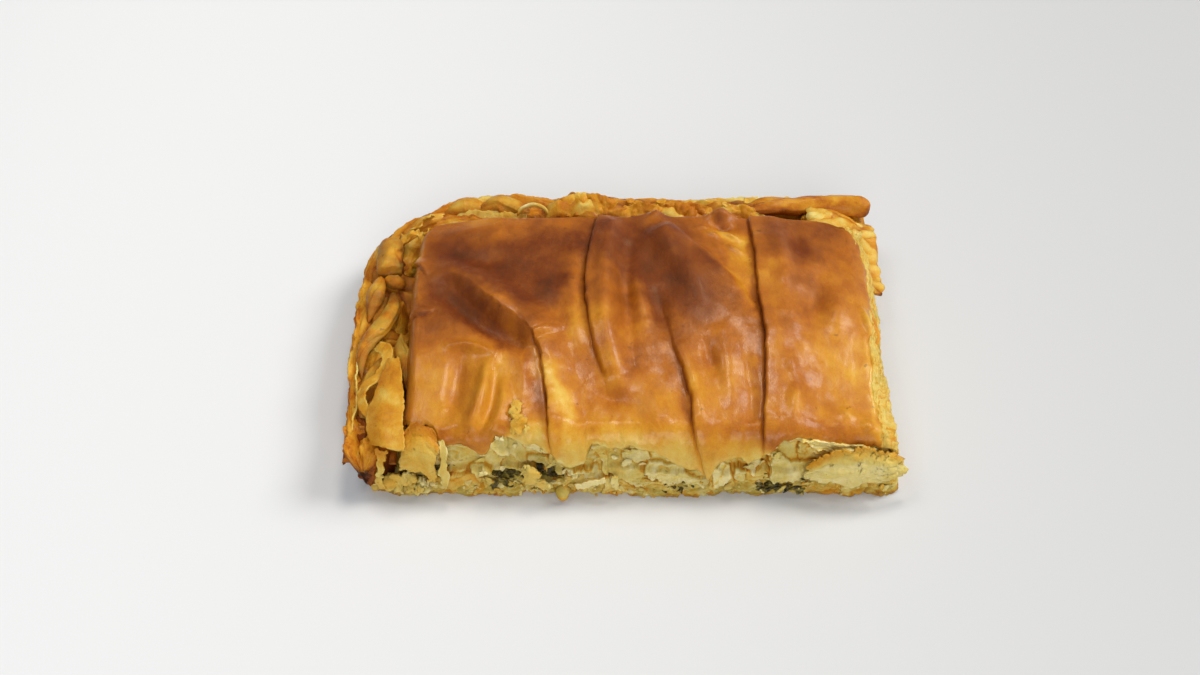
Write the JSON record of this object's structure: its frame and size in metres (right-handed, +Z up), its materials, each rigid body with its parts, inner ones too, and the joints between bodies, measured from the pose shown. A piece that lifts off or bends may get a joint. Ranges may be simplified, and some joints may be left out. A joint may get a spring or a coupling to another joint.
{
  "type": "spinach pie portion",
  "caption": "Rectangular portion cut from the corner of a tray-baked filo pie: pleated browned lid, spinach filling, flat base with a rolled rim on two sides.",
  "frame": {"origin": "middle of the bounding box, at the height of the flat underside", "axes": "+Z up from the underside; +X along the longer side, from the rolled rim's end to the cut end; +Y from the front cut to the rolled rim at the back"},
  "size_m": [0.1555, 0.1076, 0.0299],
  "materials": {
    "golden_filo": "golden, dry and flaky baked filo, dark brown where it stood against the pan",
    "cooked_spinach": "dark green chopped cooked leaves with pale crumbs of pastry, moist",
    "browned_filo": "oiled, unevenly browned filo, pale cream to yellow-green where the layers are cut"
  },
  "bodies": {
    "root": {"bottom_crust": "golden_filo", "spinach_filling": "cooked_spinach", "top_crust": "browned_filo"}
  },
  "joints": []
}
